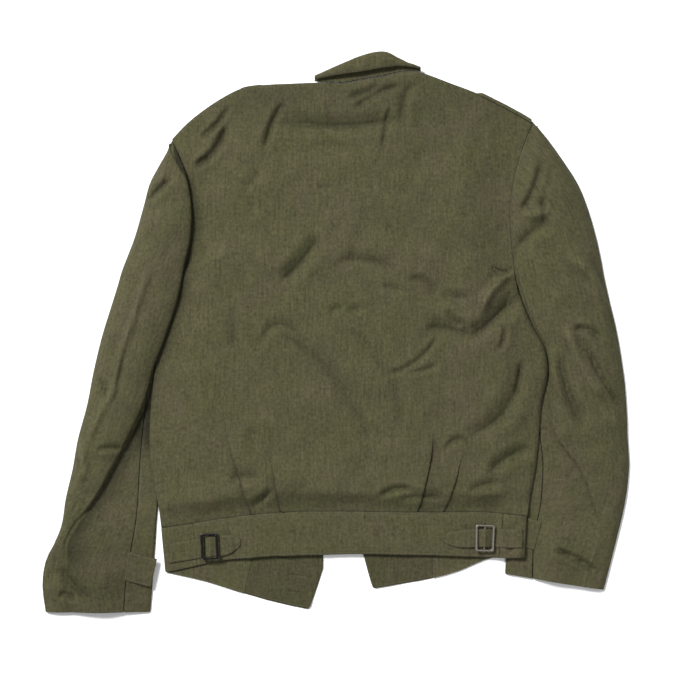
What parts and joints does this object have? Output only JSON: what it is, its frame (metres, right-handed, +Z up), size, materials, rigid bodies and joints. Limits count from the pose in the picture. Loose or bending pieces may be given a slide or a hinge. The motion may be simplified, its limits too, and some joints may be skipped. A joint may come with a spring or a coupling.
{
  "type": "wool field jacket",
  "caption": "Short-waisted wool field jacket laid flat on its front, back up, with pleats into a waistband, buckled waist straps and sleeves at its sides.",
  "frame": {"origin": "centre of the overall box, on the surface the jacket lies on", "axes": "+X across the jacket towards the sleeve whose forearm lies partly under the waistband's buckled end with the longer strap, +Y towards the collar, +Z up out of the back"},
  "size_m": [0.7646, 0.729, 0.0289],
  "materials": {
    "wool_serge": "napped olive drab wool serge",
    "wool_serge_shade": "napped olive drab wool serge",
    "dark_bronze": "blackened bronze, worn",
    "worn_bronze": "bronze worn bright at its edges"
  },
  "bodies": {
    "root": {"back_panel": "wool_serge", "front_left": "wool_serge_shade", "front_right": "wool_serge_shade", "topsleeve_left": "wool_serge", "undersleeve_left": "wool_serge", "topsleeve_right": "wool_serge", "undersleeve_right": "wool_serge", "collar": "wool_serge", "waistband_back": "wool_serge", "waistband_side_left": "wool_serge", "waistband_front_left": "wool_serge_shade", "waistband_side_right": "wool_serge", "waistband_front_right": "wool_serge_shade", "adjuster_strap_left": "wool_serge", "adjuster_strap_right": "wool_serge", "buckle_tab_left": "wool_serge_shade", "buckle_tab_right": "wool_serge_shade", "cuff_tab_left": "wool_serge", "cuff_tab_right": "wool_serge", "shoulder_strap_left": "wool_serge", "shoulder_strap_right": "wool_serge", "buckle_left": "dark_bronze", "buckle_right": "worn_bronze"}
  },
  "joints": []
}
